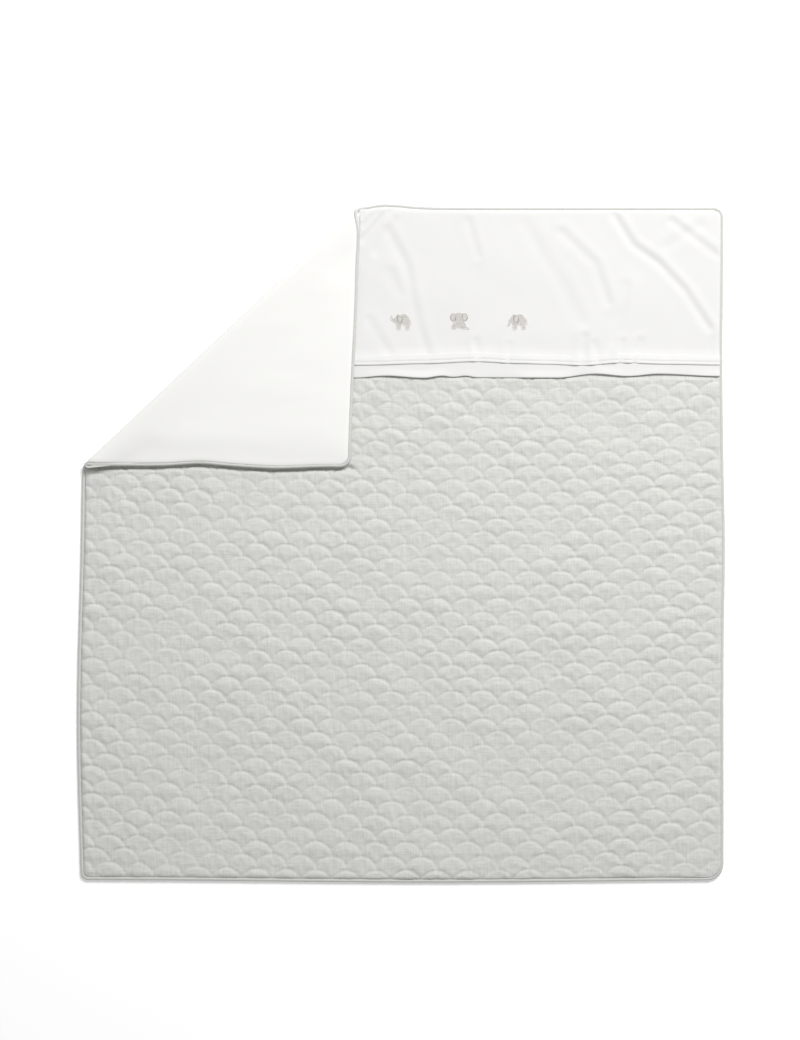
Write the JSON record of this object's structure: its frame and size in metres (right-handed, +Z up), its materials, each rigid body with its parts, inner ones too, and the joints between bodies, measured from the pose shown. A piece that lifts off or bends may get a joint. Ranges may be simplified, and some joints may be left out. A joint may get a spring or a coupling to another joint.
{
  "type": "cot quilt",
  "caption": "Padded cot quilt with a clamshell quilted cover, an embroidered head panel and corded edges, lying flat with a corner turned back.",
  "frame": {"origin": "under the middle of the quilt's bounding box, on the surface that it lies on", "axes": "+X to the right across the quilt, +Y towards the head panel, +Z up out of the cover"},
  "size_m": [0.95, 0.9961, 0.0221],
  "materials": {
    "grey_chambray": "matt yarn-dyed cotton with fine slubs",
    "white_cotton": "matt plain weave",
    "backing_cloth": "smooth matt cotton",
    "wadding": "soft polyester fibre",
    "piping_cloth": "matt bias-cut cotton",
    "piping_cord": "twisted cotton cord",
    "white_thread": "soft sewing thread",
    "embroidery_thread": "slightly glossy embroidery thread"
  },
  "bodies": {
    "quilt": {"backing": "backing_cloth", "elephant_1_body": "embroidery_thread", "elephant_1_ear": "embroidery_thread", "elephant_1_tail": "embroidery_thread", "elephant_2_body": "embroidery_thread", "elephant_2_ear_left": "embroidery_thread", "elephant_2_ear_right": "embroidery_thread", "elephant_2_tail": "embroidery_thread", "elephant_3_body": "embroidery_thread", "elephant_3_ear": "embroidery_thread", "elephant_3_tail": "embroidery_thread", "fold_piping_cord_head": "piping_cord", "fold_piping_cord_side": "piping_cord", "fold_piping_cover_head": "piping_cloth", "fold_piping_cover_side": "piping_cloth", "fold_roll": "backing_cloth", "hem_topstitch": "white_thread", "panel_hem": "white_cotton", "piping_cord_foot": "piping_cord", "piping_cord_head": "piping_cord", "piping_cord_left": "piping_cord", "piping_cord_right": "piping_cord", "piping_cover_foot": "piping_cloth", "piping_cover_head": "piping_cloth", "piping_cover_left": "piping_cloth", "piping_cover_right": "piping_cloth", "quilted_cover": "grey_chambray", "top_panel": "white_cotton", "trim_band": "white_cotton", "wadding": "wadding"},
    "corner": {"corner_backing": "backing_cloth", "corner_cover": "grey_chambray", "corner_hem_topstitch": "white_thread", "corner_panel": "white_cotton", "corner_panel_hem": "white_cotton", "corner_piping_cord_head": "piping_cord", "corner_piping_cord_side": "piping_cord", "corner_piping_cover_head": "piping_cloth", "corner_piping_cover_side": "piping_cloth", "corner_trim_band": "white_cotton", "corner_wadding": "wadding"}
  },
  "joints": [
    {"name": "corner_fold", "type": "hinge", "parent": "quilt", "child": "corner", "pos_m": [-0.475, 0.115, 0.01105], "axis": [-0.7283, -0.6853, 0], "range_deg": [0, 179], "deforming": ["fold_piping_cord_head", "fold_piping_cord_side", "fold_piping_cover_head", "fold_piping_cover_side", "fold_roll"]}
  ]
}
